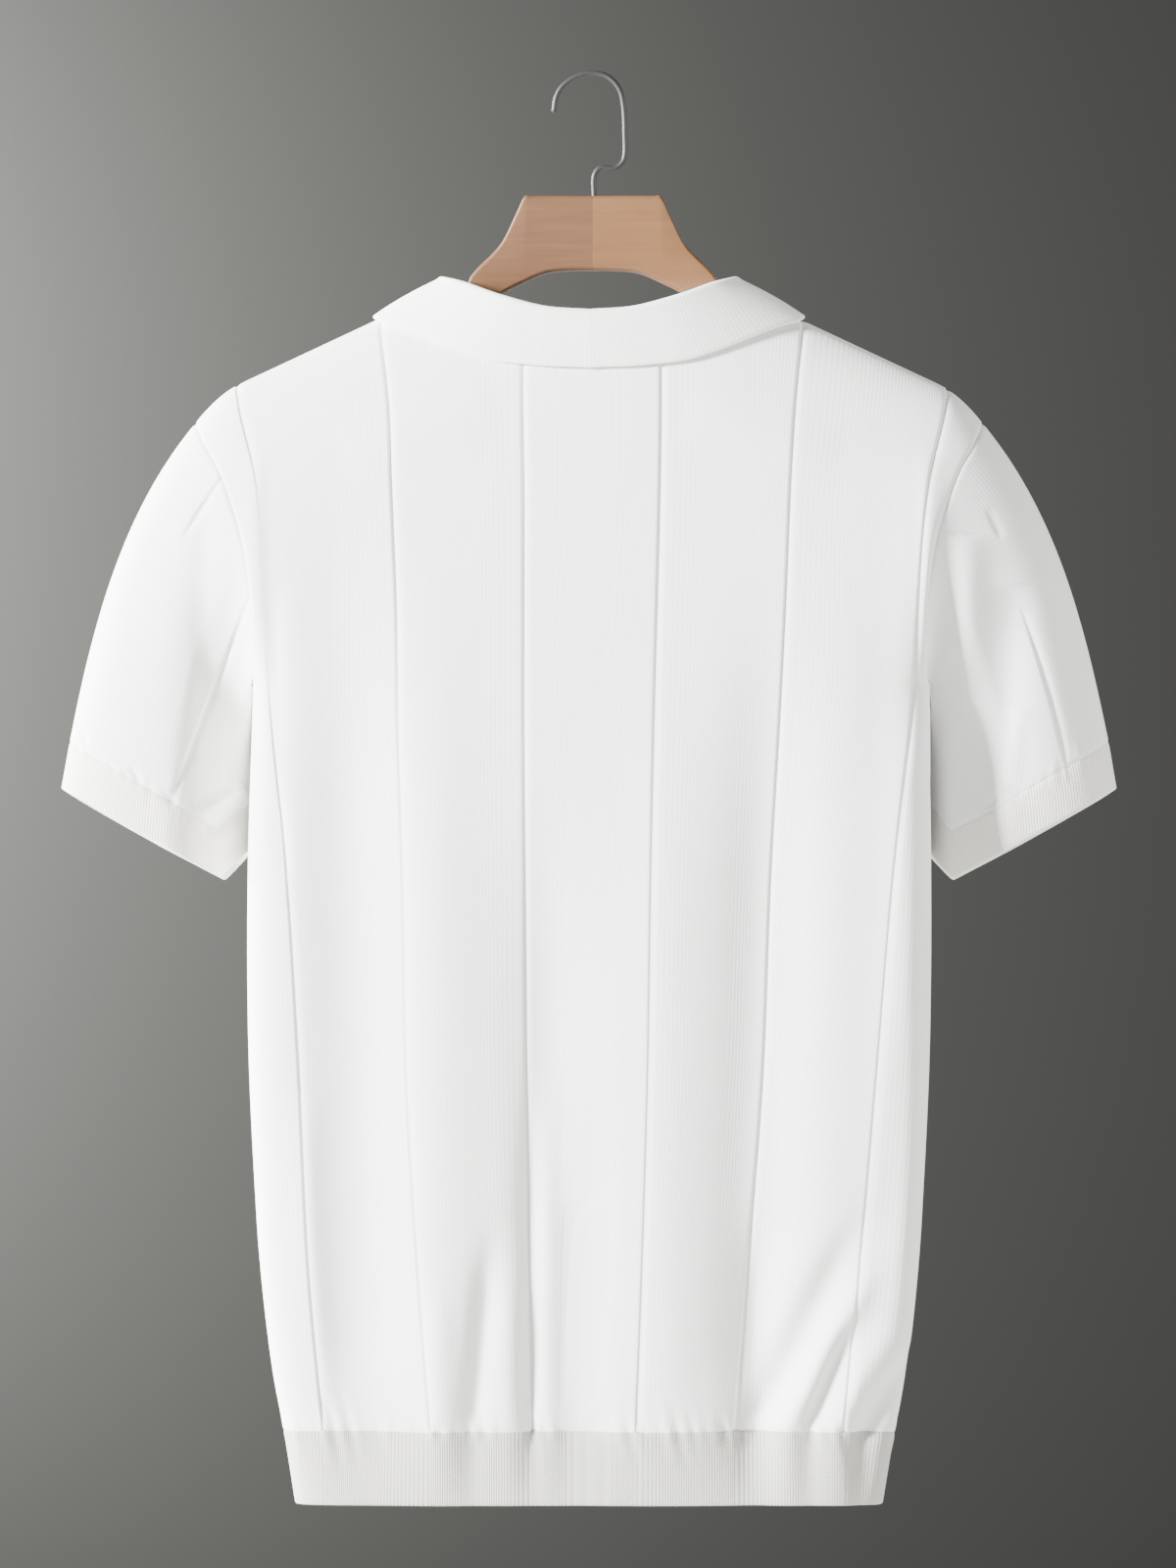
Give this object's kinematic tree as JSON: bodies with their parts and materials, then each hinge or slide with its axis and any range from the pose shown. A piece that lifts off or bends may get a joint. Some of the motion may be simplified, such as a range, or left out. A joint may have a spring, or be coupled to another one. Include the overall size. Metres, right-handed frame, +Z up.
{
  "type": "polo shirt on a clothes hanger",
  "caption": "Knitted short-sleeve polo shirt with turned-down collar and buttoned placket, hanging hollow and open on a wooden hanger with a bent steel hook.",
  "frame": {"origin": "inside top of the hook's bend, where a rail carries it", "axes": "+Z up, the shirt's front faces +Y and its back -Y, the wearer's right side is +X"},
  "size_m": [0.6468, 0.1161, 0.8749],
  "materials": {
    "knit": "fine, smooth white jersey knit with a soft matt surface",
    "rib": "fine white rib knit, matt, slightly warmer than the panels",
    "button": "pearly off-white resin",
    "wood_left": "pale beech with straight grain, satin varnish",
    "wood_right": "pale beech, a little lighter than the other half, satin varnish",
    "steel": "drawn round wire, polished"
  },
  "bodies": {
    "root": {"back": "knit", "front": "knit", "sleeve_left": "knit", "sleeve_right": "knit", "cuff_left": "rib", "cuff_right": "rib", "waistband_back": "rib", "waistband_front": "rib", "collar": "rib", "placket_over": "knit", "placket_under": "knit", "button_1": "button", "button_2": "button", "button_3": "button", "hanger_left": "wood_left", "hanger_right": "wood_right", "hook": "steel"}
  },
  "joints": []
}
